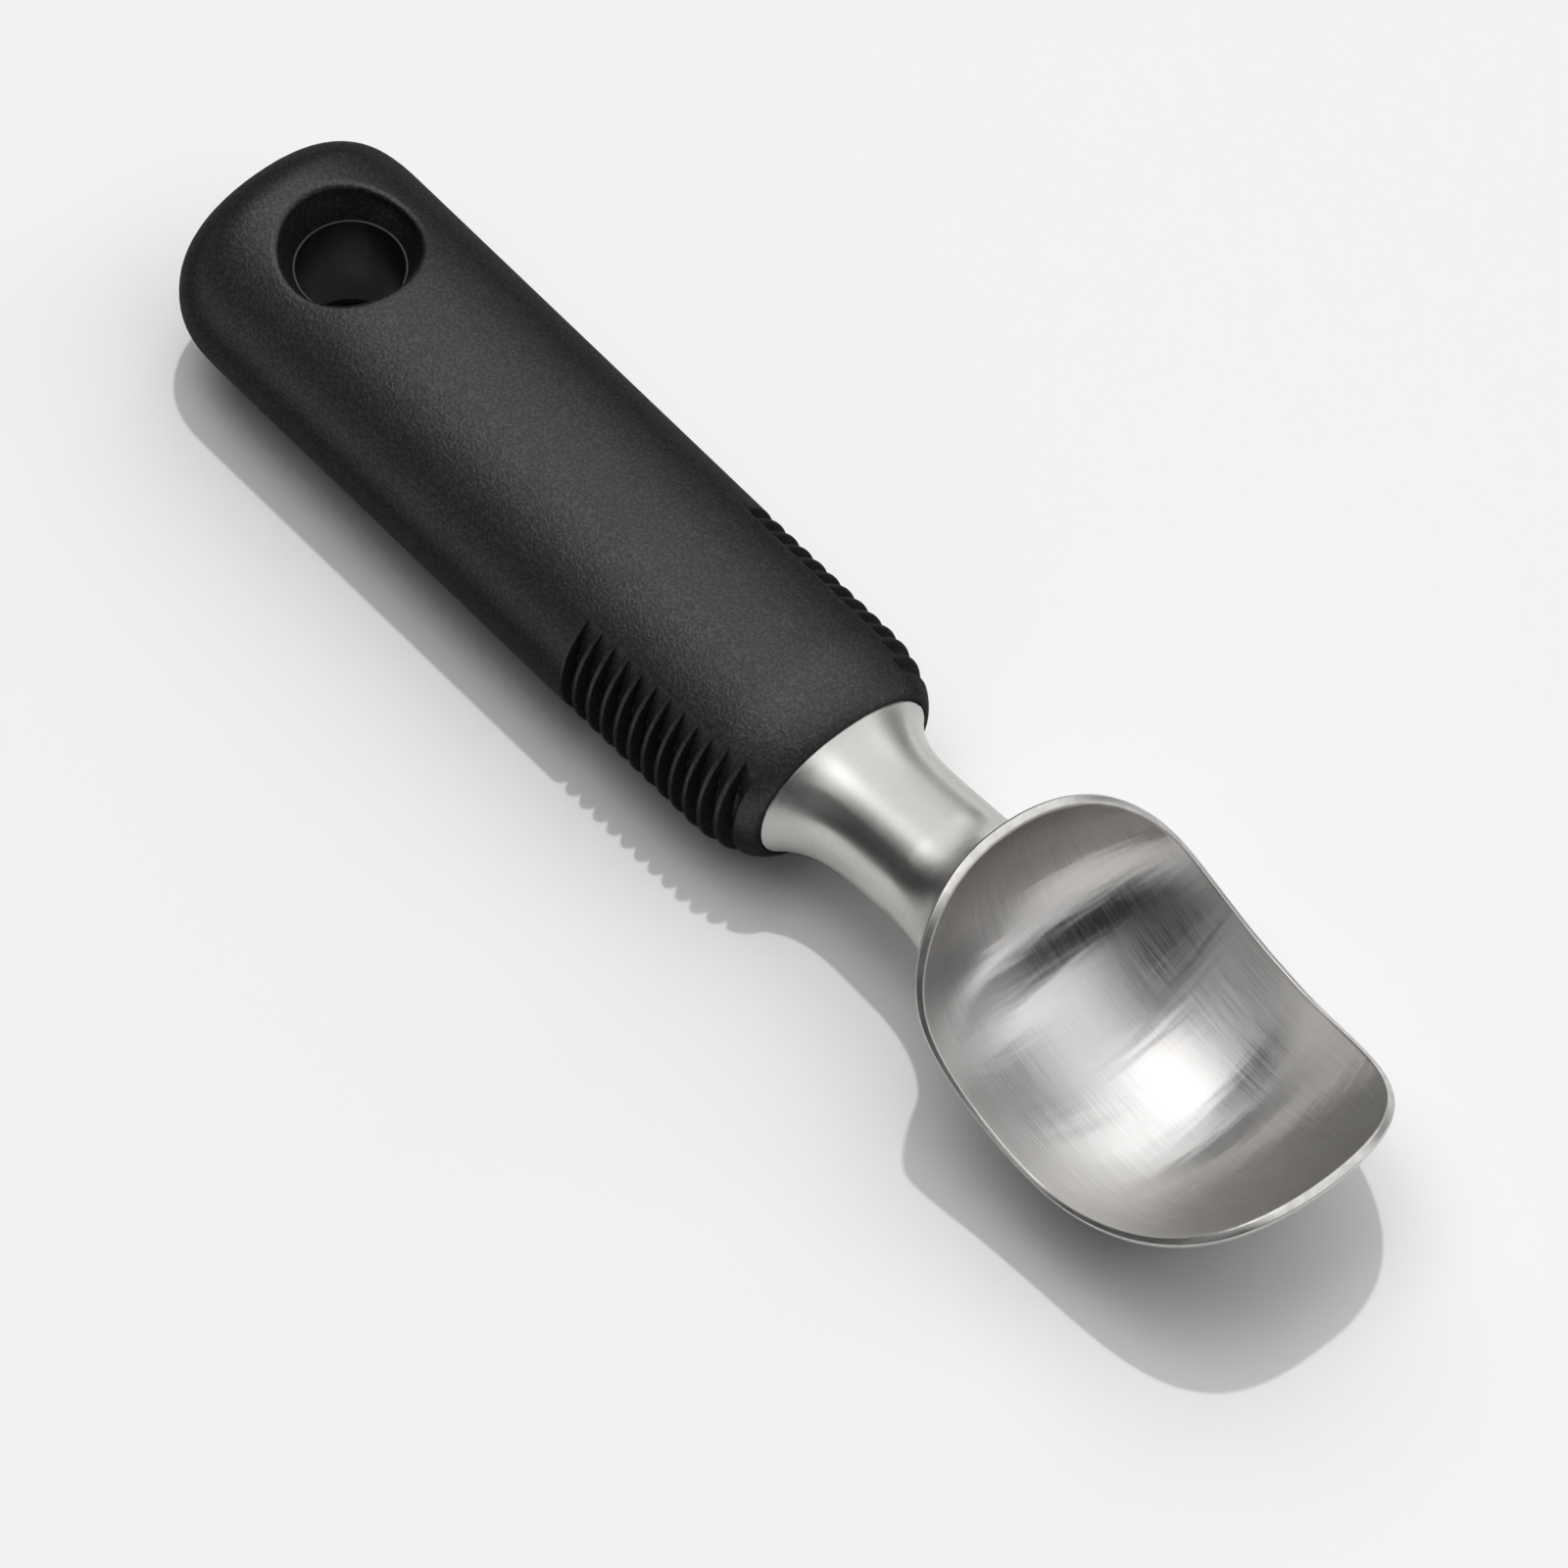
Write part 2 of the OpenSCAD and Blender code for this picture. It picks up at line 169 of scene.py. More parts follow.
@dataclass
class Skin:
    """Points and faces of a mesh that grows ring by ring, in millimetres."""

    points: List[np.ndarray] = field(default_factory=list)
    faces: List[Tuple[int, ...]] = field(default_factory=list)
    zones: List[int] = field(default_factory=list)
    total: int = 0
    sharp: float = 40.0

    def add(self, rows: np.ndarray) -> np.ndarray:
        """Adds points.

        Args:
            rows: One row for each point.

        Returns:
            The points' numbers.
        """
        start = self.total
        self.points.append(np.atleast_2d(rows))
        self.total += len(self.points[-1])
        return np.arange(start, self.total)

    def rows(self, numbers: np.ndarray) -> np.ndarray:
        """Looks up points by their numbers."""
        return np.vstack(self.points)[numbers]

    def face(self, corners: Tuple[int, ...], zone: int = 0) -> None:
        """Adds one face in a zone of the finish."""
        self.faces.append(tuple(int(c) for c in corners))
        self.zones.append(zone)

    def band(self, low: np.ndarray, high: np.ndarray, zone: int = 0) -> None:
        """Joins two closed rings of equal counts with a band of quads."""
        for a, b, c, d in zip(low, np.roll(low, -1), np.roll(high, -1), high):
            self.face((a, b, c, d), zone)

    def chain(self, start: np.ndarray, rings: Sequence[np.ndarray], zone: int = 0) -> np.ndarray:
        """Adds rings one after another, each joined to the one before.

        Args:
            start: Numbers of the ring to start from.
            rings: Points of each new ring.
            zone: Zone of the finish for the new faces.

        Returns:
            The numbers of the last ring.
        """
        last = start
        for ring in rings:
            new = self.add(ring)
            self.band(last, new, zone)
            last = new
        return last

    def fan(self, ring: np.ndarray, tip: np.ndarray, zone: int = 0) -> None:
        """Closes a ring with triangles to one point.

        Args:
            ring: Numbers of the ring's points.
            tip: The point.
            zone: Zone of the finish for the new faces.
        """
        apex = int(self.add(tip)[0])
        for a, b in zip(ring, np.roll(ring, -1)):
            self.face((a, b, apex), zone)

    def build(self, name: str, finishes: Sequence[Material]) -> Piece:
        """Turns the rings into one smooth object, with a hard edge where faces meet sharply.

        Args:
            name: Name of the piece.
            finishes: One material for each zone.

        Returns:
            The new object, linked to the scene.
        """
        mesh = bpy.data.meshes.new(name)
        mesh.from_pydata((np.vstack(self.points) * MM).tolist(), [], self.faces)
        mesh.polygons.foreach_set("material_index", self.zones)
        work = bmesh.new()
        work.from_mesh(mesh)
        bmesh.ops.recalc_face_normals(work, faces=work.faces)
        work.to_mesh(mesh)
        work.free()
        mesh.shade_smooth()
        mesh.set_sharp_from_angle(angle=math.radians(self.sharp))
        for finish in finishes:
            mesh.materials.append(finish)
        return put(name, mesh)


class Value:
    """A shader socket that can be used in a Python expression."""

    def __init__(self, graph: "Graph", socket: bpy.types.NodeSocket) -> None:
        """Holds a socket of a graph."""
        self.graph = graph
        self.socket = socket

    def _math(self, operation: str, left: Any, right: Any) -> "Value":
        """Adds one Math node."""
        return self.graph.add("ShaderNodeMath", {0: left, 1: right}, {"operation": operation})

    def __add__(self, other: Any) -> "Value":
        """Adds a value or a number."""
        return self._math("ADD", self, other)

    def __sub__(self, other: Any) -> "Value":
        """Takes away a value or a number."""
        return self._math("SUBTRACT", self, other)

    def __rsub__(self, other: float) -> "Value":
        """Takes this value away from a number."""
        return self._math("SUBTRACT", other, self)

    def __mul__(self, other: Any) -> "Value":
        """Multiplies by a value or a number."""
        return self._math("MULTIPLY", self, other)

    def size(self) -> "Value":
        """Gives the value without its sign."""
        return self.graph.add("ShaderNodeMath", {0: self}, {"operation": "ABSOLUTE"})


class Graph:
    """A node tree that is being written."""

    def __init__(self, tree: bpy.types.NodeTree) -> None:
        """Empties a tree to write it anew."""
        self.tree = tree
        tree.nodes.clear()

    def add(self, kind: str, inputs: Optional[Mapping[Socket, Any]] = None,
            settings: Optional[Mapping[str, Any]] = None, output: Socket = 0) -> Value:
        """Adds one node.

        Args:
            kind: The node's type.
            inputs: Values, or links from other nodes, for its sockets.
            settings: What is set on the node itself, before its sockets.
            output: Which of its outputs is wanted.

        Returns:
            That output.
        """
        node = self.tree.nodes.new(kind)
        for name, setting in (settings or {}).items():
            setattr(node, name, setting)
        for name, given in (inputs or {}).items():
            if isinstance(given, Value):
                self.tree.links.new(given.socket, node.inputs[name])
            else:
                node.inputs[name].default_value = given
        return Value(self, node.outputs[output] if len(node.outputs) else None)

    def place(self) -> Value:
        """Gives the place on the piece, in metres, in the piece's own frame."""
        return self.add("ShaderNodeTexCoord", output="Object")

    def lay(self) -> Value:
        """Gives how far across and along the brush lines a place is, in millimetres."""
        return self.add("ShaderNodeAttribute", settings={"attribute_name": LAY}, output="Vector")

    def stretch(self, vector: Value, scale: Sequence[float]) -> Value:
        """Scales a vector along its three axes."""
        return self.add("ShaderNodeVectorMath", {0: vector, 1: scale}, {"operation": "MULTIPLY"})

    def noise(self, vector: Value, scale: float, detail: float = 2.0, roughness: float = 0.5,
              flat: bool = False) -> Value:
        """Adds soft noise from 0 to 1 at a number of features to the unit."""
        inputs = {"Vector": vector, "Scale": scale, "Detail": detail, "Roughness": roughness}
        return self.add("ShaderNodeTexNoise", inputs, {"noise_dimensions": "2D" if flat else "3D"})

    def remap(self, value: Value, low: float, high: float, start: float = 0.0, end: float = 1.0) -> Value:
        """Turns values from low to high into a smooth step between a start and an end."""
        inputs = {"Value": value, "From Min": low, "From Max": high, "To Min": start, "To Max": end}
        return self.add("ShaderNodeMapRange", inputs, {"interpolation_type": "SMOOTHSTEP"})

    def spread(self, noise: Value, start: float = 0.0, end: float = 1.0) -> Value:
        """Spreads the range that most noise lies in over a start and an end."""
        return self.remap(noise, NOISE_LOW, NOISE_HIGH, start, end)

    def blend(self, share: Value, first: Colour, second: Colour) -> Value:
        """Mixes two colours."""
        inputs = {0: share, MIX_FIRST_COLOUR: (*first, 1.0), MIX_SECOND_COLOUR: (*second, 1.0)}
        return self.add("ShaderNodeMix", inputs, {"data_type": "RGBA"}, MIX_COLOUR_OUT)

    def bump(self, height: Value, distance: float) -> Value:
        """Turns a height from 0 to 1 into a normal, where 1 stands distance millimetres proud."""
        return self.add("ShaderNodeBump", {"Height": height, "Distance": distance * MM, "Strength": 1.0})

    def principled(self, inputs: Mapping[str, Any]) -> Value:
        """Adds a Principled surface."""
        return self.add("ShaderNodeBsdfPrincipled", inputs)

    def end(self, surface: Value) -> None:
        """Ends the tree of a material with its surface."""
        self.add("ShaderNodeOutputMaterial", {"Surface": surface})


class Finish:
    """A material whose nodes a subclass writes."""

    name: str

    def make(self) -> Material:
        """Makes the material.

        Returns:
            The material.
        """
        made = bpy.data.materials.new(self.name)
        made.use_nodes = True
        self.write(Graph(made.node_tree))
        return made

    def write(self, g: Graph) -> None:
        """Adds its nodes."""
        raise NotImplementedError


@dataclass(frozen=True)
class BrushedBowl(Finish):
    """The bowl's inside: steel brushed from the hood to the tip, with long fine lines.

    Its scales are features to the millimetre, across and along the brush lines.
    """

    name: str = "brushed_bowl"
    dark: Colour = (0.57, 0.56, 0.55)
    light: Colour = (0.7, 0.69, 0.68)
    rough: Pair = (0.28, 0.34)
    anisotropy: float = 0.9
    line_scale: Scale = (1 / 0.14, 1 / 10.0, 0.0)
    broad_scale: Scale = (0.9, 0.04, 0.0)
    broad_share: float = 0.15
    wisp_scale: Scale = (1 / 16.0, 1 / 3.2, 0.0)
    wisp_relief: float = 0.8
    line_relief: float = 0.04
    relief: float = 0.1

    def write(self, g: Graph) -> None:
        """Adds its nodes.

        Args:
            g: The material's tree.
        """
        fine = g.noise(g.stretch(g.lay(), self.line_scale), 1.0, 3.0, 0.6, flat=True)
        broad = g.noise(g.stretch(g.lay(), self.broad_scale), 1.0, 2.0, 0.5, flat=True)
        wisps = g.noise(g.stretch(g.lay(), self.wisp_scale), 1.0, 2.0, 0.5, flat=True)
        mark = g.spread(fine * (1 - self.broad_share) + broad * self.broad_share)
        g.end(g.principled({
            "Base Color": g.blend(mark, self.dark, self.light),
            "Metallic": 1.0,
            "Roughness": g.remap(mark, 0.0, 1.0, *self.rough),
            "Anisotropic": self.anisotropy,
            "Normal": g.bump(wisps * self.wisp_relief + fine * self.line_relief, self.relief),
        }))


@dataclass(frozen=True)
class SatinSteel(Finish):
    """The outside: steel blasted and lightly brushed round the neck."""

    name: str = "satin_steel"
    dark: Colour = (0.51, 0.5, 0.48)
    light: Colour = (0.59, 0.58, 0.56)
    rough: Pair = (0.3, 0.4)
    anisotropy: float = 0.8
    quarter_turn: float = 0.25
    grain_scale: float = 4200.0
    line_scale: Scale = (9000.0, 260.0, 260.0)
    grain_share: float = 0.4
    relief: float = 0.005

    def write(self, g: Graph) -> None:
        """Adds its nodes.

        Args:
            g: The material's tree.
        """
        grain = g.noise(g.place(), self.grain_scale, 2.0, 0.7)
        lines = g.noise(g.stretch(g.place(), self.line_scale), 1.0, 2.0, 0.6)
        mark = grain * self.grain_share + lines * (1 - self.grain_share)
        g.end(g.principled({
            "Base Color": g.blend(g.spread(mark), self.dark, self.light),
            "Metallic": 1.0,
            "Roughness": g.spread(mark, *self.rough),
            "Anisotropic": self.anisotropy,
            "Anisotropic Rotation": self.quarter_turn,
            "Normal": g.bump(mark, self.relief),
        }))


@dataclass(frozen=True)
class PolishedRim(Finish):
    """The bowl's rim, buffed smoother than the outside."""

    name: str = "polished_rim"
    colour: Colour = (0.6, 0.59, 0.575)
    worn: Colour = (0.52, 0.51, 0.5)
    rough: Pair = (0.32, 0.42)
    wear_scale: float = 700.0
    grain_scale: float = 1500.0
    relief: float = 0.006

    def write(self, g: Graph) -> None:
        """Adds its nodes.

        Args:
            g: The material's tree.
        """
        wear = g.noise(g.place(), self.wear_scale, 3.0, 0.6)
        g.end(g.principled({
            "Base Color": g.blend(g.remap(wear, 0.35, 0.7), self.colour, self.worn),
            "Metallic": 1.0,
            "Roughness": g.spread(wear, *self.rough),
            "Normal": g.bump(g.noise(g.place(), self.grain_scale, 2.0), self.relief),
        }))


@dataclass(frozen=True)
class RubberLayer:
    """One of the rubber's two copies: the silky one, or the matt one, whose darker colour is painted
    shade.
    """

    colour: Colour
    speck: Colour
    rough: Pair
    gloss: float

    def add(self, g: Graph, specks: Value, grain: Value, skin: Value) -> Value:
        """Adds its surface.

        Args:
            g: The material's tree.
            specks: Where the rubber is speckled.
            grain: Its moulded grain.
            skin: Its normal.

        Returns:
            The surface.
        """
        return g.principled({
            "Base Color": g.blend(specks, self.colour, self.speck),
            "Roughness": g.spread(grain, *self.rough),
            "Specular IOR Level": self.gloss,
            "Normal": skin,
        })


@dataclass(frozen=True)
class GripRubber(Finish):
    """Soft black rubber with a moulded grain, silky towards the eye, with a less glossy and darker copy
    blended in where it turns away: painted shade.
    """

    name: str = "grip_rubber"
    silky: RubberLayer = RubberLayer((0.003, 0.003, 0.0031), (0.026, 0.026, 0.0264), (0.5, 0.38), 0.62)
    # The matt copy is less glossy and darker than the silky one; its darker colour is painted shade on
    # faces turned from the eye.
    matt_and_shade: RubberLayer = RubberLayer((0.003, 0.003, 0.003), (0.01, 0.01, 0.01), (0.9, 0.75), 0.2)
    grain_size: float = 0.42
    cloud_scale: float = 90.0
    cloud_share: float = 0.1
    speck_from: float = 0.42
    speck_to: float = 0.68
    turn_from: float = 0.1
    turn_to: float = 0.54
    relief: float = 0.1

    def write(self, g: Graph) -> None:
        """Adds its nodes.

        Args:
            g: The material's tree.
        """
        grain = g.noise(g.place(), 1 / (self.grain_size * MM), 2.0, 0.6)
        cloud = g.noise(g.place(), self.cloud_scale, 3.0, 0.55)
        mottle = grain * (1 - self.cloud_share) + cloud * self.cloud_share
        specks = g.remap(mottle, self.speck_from, self.speck_to)
        skin = g.bump(grain, self.relief)
        silky, matt_and_shade = (layer.add(g, specks, grain, skin) for layer in (self.silky, self.matt_and_shade))
        # Where the surface turns from the eye the darker matt copy takes over: a loss of gloss, and
        # painted shade.
        facing = g.add("ShaderNodeLayerWeight", {"Blend": 0.5}, output="Facing")
        matt_and_shade_mask = g.remap(facing, self.turn_from, self.turn_to)
        g.end(g.add("ShaderNodeMixShader", {0: matt_and_shade_mask, 1: silky, 2: matt_and_shade}))


@dataclass(frozen=True)
class GlossCore(Finish):
    """The rigid core, near black with a trace of red, glossy where the hole shows it."""

    name: str = "gloss_core"
    colour: Colour = (0.007, 0.0055, 0.0055)
    warm: Colour = (0.012, 0.0075, 0.007)
    rough: Pair = (0.3, 0.42)
    flow_scale: float = 260.0
    relief: float = 0.02

    def write(self, g: Graph) -> None:
        """Adds its nodes.

        Args:
            g: The material's tree.
        """
        flow = g.noise(g.place(), self.flow_scale, 3.0, 0.5)
        g.end(g.principled({
            "Base Color": g.blend(g.spread(flow), self.colour, self.warm),
            "Roughness": g.spread(flow, *self.rough),
            "Normal": g.bump(flow, self.relief),
        }))


@dataclass(frozen=True)
class GroundPin(Finish):
    """Plain ground steel for the cross pins, with turning marks round them."""

    name: str = "ground_pin"
    dark: Colour = (0.42, 0.42, 0.42)
    light: Colour = (0.58, 0.58, 0.58)
    rough: Pair = (0.2, 0.35)
    turning_scale: Scale = (300.0, 6000.0, 300.0)
    relief: float = 0.004

    def write(self, g: Graph) -> None:
        """Adds its nodes.

        Args:
            g: The material's tree.
        """
        turning = g.noise(g.stretch(g.place(), self.turning_scale), 1.0, 2.0, 0.6)
        g.end(g.principled({
            "Base Color": g.blend(turning, self.dark, self.light),
            "Metallic": 1.0,
            "Roughness": g.spread(turning, *self.rough),
            "Normal": g.bump(turning, self.relief),
        }))


@dataclass(frozen=True)
class TableTop(Finish):
    """The plain pale table."""

    name: str = "table_top"
    colour: Colour = (0.785, 0.785, 0.785)
    shade_share: float = 0.995
    tone_scale: float = 3.0

    def write(self, g: Graph) -> None:
        """Adds its nodes.

        Args:
            g: The material's tree.
        """
        shade = tuple(c * self.shade_share for c in self.colour)
        g.end(g.principled({
            "Base Color": g.blend(g.noise(g.place(), self.tone_scale, 1.0), self.colour, shade),
            "Roughness": 0.9,
            "Specular IOR Level": 0.0,
        }))


@dataclass(frozen=True)
class Window:
    """The patch of a lofted grid whose place a round hole takes, alike on top and below."""

    first: int
    last: int
    low: int
    high: int

    def covers(self, station: int, step: int, around: int) -> bool:
        """Says whether a cell of the grid lies in the patch, on top or below."""
        inside = self.low <= step < self.high or self.low <= around - 1 - step < self.high
        return inside and self.first <= station < self.last

    def border(self, grid: np.ndarray, side: int) -> np.ndarray:
        """Walks round the patch's border.

        Args:
            grid: Numbers of the points, one row for each ring.
            side: 1 on top, -1 below.

        Returns:
            The border's numbers, in order round it.
        """
        cells = [(i, self.low) for i in range(self.first, self.last)]
        cells += [(self.last, j) for j in range(self.low, self.high)]
        cells += [(i, self.high) for i in range(self.last, self.first, -1)]
        cells += [(self.first, j) for j in range(self.high, self.low, -1)]
        return np.array([grid[i, side * j] for i, j in cells])


def loft(skin: Skin, rings: Sequence[np.ndarray], window: Optional[Window] = None) -> np.ndarray:
    """Adds a grid of rings along X, open where the window is.

    Args:
        skin: The mesh that grows.
        rings: The sections, all with the same count of points.
        window: The patch to leave out, if any.

    Returns:
        The numbers of the points, one row for each ring.
    """
    grid = np.array([skin.add(ring) for ring in rings])
    around = grid.shape[1]
    for i in range(len(rings) - 1):
        for j in range(around):
            if window is None or not window.covers(i, j, around):
                k = (j + 1) % around
                skin.face((grid[i, j], grid[i, k], grid[i + 1, k], grid[i + 1, j]))
    return grid


class OvalBar:
    """A bar along X with oval sections, whose sizes a subclass gives."""

    square: float

    def half_sizes(self, x: Any) -> Tuple[Any, Any]:
        """Gives half the width and half the height at a place along the bar."""
        raise NotImplementedError

    def crown(self, flat: np.ndarray) -> np.ndarray:
        """Gives the surface's height above the middle line at places seen from above.

        Args:
            flat: One row of X and Y for each place.

        Returns:
            The heights.
        """
        half_w, half_h = self.half_sizes(flat[:, 0])
        share = np.clip(np.abs(flat[:, 1]) / half_w, 0, 1)
        return half_h * (1 - share ** self.square) ** (1 / self.square)


@dataclass
class GripForm(OvalBar):
    """The grip's outer surface as formulas."""

    heel_x: float
    length: float
    width: float
    height: float
    square: float = 2.15
    heel_plan: float = 14.2
    heel_plan_ease: float = 2.6
    heel_side: float = 9.0
    nose: float = 9.5
    nose_ease: float = 1.7
    lip_half_w: float = 13.7
    lip_half_h: float = 10.2
    slot_count: int = 12
    slot_pitch: float = 2.65
    slot_w: float = 1.95
    slot_depth: float = 2.6
    slot_setback: float = 3.6
    slot_reach: float = 20.4
    fin_turns: Tuple[float, ...] = (0, 20, 40, 60, 80)
    heel_steps: int = 26
    middle_steps: int = 36
    nose_steps: int = 9
    around: int = 144

    @classmethod
    def from_frame(cls) -> "GripForm":
        """Takes the grip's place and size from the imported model.

        Returns:
            The grip.
        """
        low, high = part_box("grip_sleeve")
        size = (high - low) / MM
        return cls(heel_x=low.x / MM, length=size.x, width=size.y, height=size.z)

    @property
    def lip_x(self) -> float:
        """Where the grip ends in front."""
        return self.heel_x + self.length

    @property
    def axis_z(self) -> float:
        """Height of the grip's middle line."""
        return self.height / 2

    @property
    def angles(self) -> np.ndarray:
        """Angles of the points round each section."""
        return full_turn(self.around)

    def half_sizes(self, x: Any) -> Tuple[Any, Any]:
        """Gives half the width and half the height at a place along the grip.

        Args:
            x: The place along X.

        Returns:
            The two halves.
        """
        nose = rounding((self.lip_x - x) / self.nose, self.nose_ease)
        plan = rounding((x - self.heel_x) / self.heel_plan, self.heel_plan_ease)
        side = rounding((x - self.heel_x) / self.heel_side, 2.0)
        in_front = x > self.heel_x + self.length / 2
        half_w = np.where(in_front, mix(self.lip_half_w, self.width / 2, nose), self.width / 2 * plan)
        half_h = np.where(in_front, mix(self.lip_half_h, self.height / 2, nose), self.height / 2 * side)
        return half_w, half_h

    def slot_floor(self, up: np.ndarray) -> np.ndarray:
        """Gives half the width left at the floor of a slot, a long shallow arc.

        Args:
            up: Heights above the middle line.

        Returns:
            Half the width at each height.
        """
        edge_z = self.slot_reach / 2
        share = (self.slot_reach / self.height) ** self.square
        edge_y = self.width / 2 * (1 - share) ** (1 / self.square)
        side_y = self.width / 2 - self.slot_depth
        centre = (side_y ** 2 - edge_y ** 2 - edge_z ** 2) / (2 * (side_y - edge_y))
        return centre + np.sqrt((side_y - centre) ** 2 - up ** 2)

    def drawn_in(self, x: float) -> float:
        """Gives how far the nose draws the floor of the nearest slot towards the middle.

        Args:
            x: A place along the slots.

        Returns:
            The distance.
        """
        front = self.lip_x - self.slot_setback
        middle = front - round((front - x) / self.slot_pitch) * self.slot_pitch
        return self.width / 2 - float(self.half_sizes(middle)[0])

    def ring(self, x: float, fall: float) -> np.ndarray:
        """Makes one section, cut in at the sides.

        Args:
            x: Where the section stands.
            fall: How far its sides lie below the surface, as deep as the slots allow.

        Returns:
            One row of X, Y and Z for each point.
        """
        half_w, half_h = self.half_sizes(x)
        rows = oval(x, float(half_w), float(half_h), self.axis_z, self.square, self.angles)
        if fall > 0:
            room = np.abs(rows[:, 1]) - self.slot_floor(rows[:, 2] - self.axis_z) + self.drawn_in(x)
            cut = np.clip(room, 0, fall)
            rows[:, 1] = np.sign(rows[:, 1]) * (np.abs(rows[:, 1]) - cut)
        return rows

    def slot_profile(self) -> List[Tuple[float, float]]:
        """Lists one slot's half profile, from its middle to the middle of the next fin.

        Returns:
            Pairs of distance from the slot's middle and depth below the surface.
        """
        half = self.slot_w / 2
        tip = 0.9 * (self.slot_pitch - self.slot_w) / 2
        deep = self.slot_depth
        profile = [(0.0, deep), (half - 0.3, deep), (half - 0.12, deep - 0.06),
                   (half - 0.04, deep - 0.25)]
        for angle in np.radians(self.fin_turns):
            profile.append((half + tip * (1 - math.cos(angle)), tip * (1 - math.sin(angle))))
        profile.append((self.slot_pitch / 2, 0.0))
        return profile

    def stations(self) -> Tuple[np.ndarray, np.ndarray]:
        """Works out where the sections stand and how far each is cut in.

        Returns:
            The places along X, and the depth below the surface at each.
        """
        heel = self.heel_x + self.heel_plan * np.linspace(0.03, 1, self.heel_steps) ** 2
        front_slot = self.lip_x - self.slot_setback
        rear_slot = front_slot - (self.slot_count - 1) * self.slot_pitch
        rear_flush = rear_slot - self.slot_pitch / 2
        behind = np.linspace(heel[-1] + 1.3, rear_flush - 2.6, self.middle_steps)
        half = self.slot_profile()
        slots = []
        for i in range(self.slot_count):
            centre = rear_slot + i * self.slot_pitch
            slots += [(centre - dx, fall) for dx, fall in reversed(half)]
            slots += [(centre + dx, fall) for dx, fall in half[1:-1]]
        slots.append((front_slot + self.slot_pitch / 2, 0.0))
        nose = self.lip_x + (slots[-1][0] - self.lip_x) * np.linspace(0.86, 0, self.nose_steps) ** 1.6
        places = [*heel, *behind, *(x for x, _ in slots), *nose]
        falls = [0.0] * (len(heel) + len(behind)) + [fall for _, fall in slots] + [0.0] * len(nose)
        return np.array(places), np.array(falls)


@dataclass
class HangingHole:
    """The hole through the grip, with a dish above and below it."""

    x: float
    bore_r: float = 7.0
    ledge: float = 0.3
    eye_r: float = 9.4
    eye_half_h: float = 8.5
    mouth_r: float = 8.95
    lip_r: float = 10.2
    lip_drop: float = 1.2
    lip_corner: float = 0.12
    lip_steps: int = 10
    window_reach: float = 13.0
    window_steps: int = 22

    def window_places(self, places: np.ndarray) -> np.ndarray:
        """Picks the sections of the grip that the hole's patch spans.

        Args:
            places: Where the sections stand.

        Returns:
            Those that the patch spans.
        """
        first = int(np.searchsorted(places, self.x - self.window_reach)) - 1
        last = int(np.searchsorted(places, self.x + self.window_reach))
        return places[first:last + 1]

    def window(self, places: np.ndarray, patch: np.ndarray, around: int) -> Window:
        """Finds the patch on a grid whose sections include the patch's own."""
        first, top, reach = int(np.searchsorted(places, patch[0])), around // 4, self.window_steps
        return Window(first, first + len(patch) - 1, top - reach, top + reach)

    def directions(self, border: np.ndarray) -> np.ndarray:
        """Gives the direction from the hole's middle to each point of a border."""
        return unit(border[:, :2] - [self.x, 0.0])

    def circle(self, directions: np.ndarray, radius: float, height: Any) -> np.ndarray:
        """Makes one ring round the hole at a radius and height."""
        flat = directions * radius + [self.x, 0.0]
        return np.column_stack([flat, np.broadcast_to(height, len(flat))])


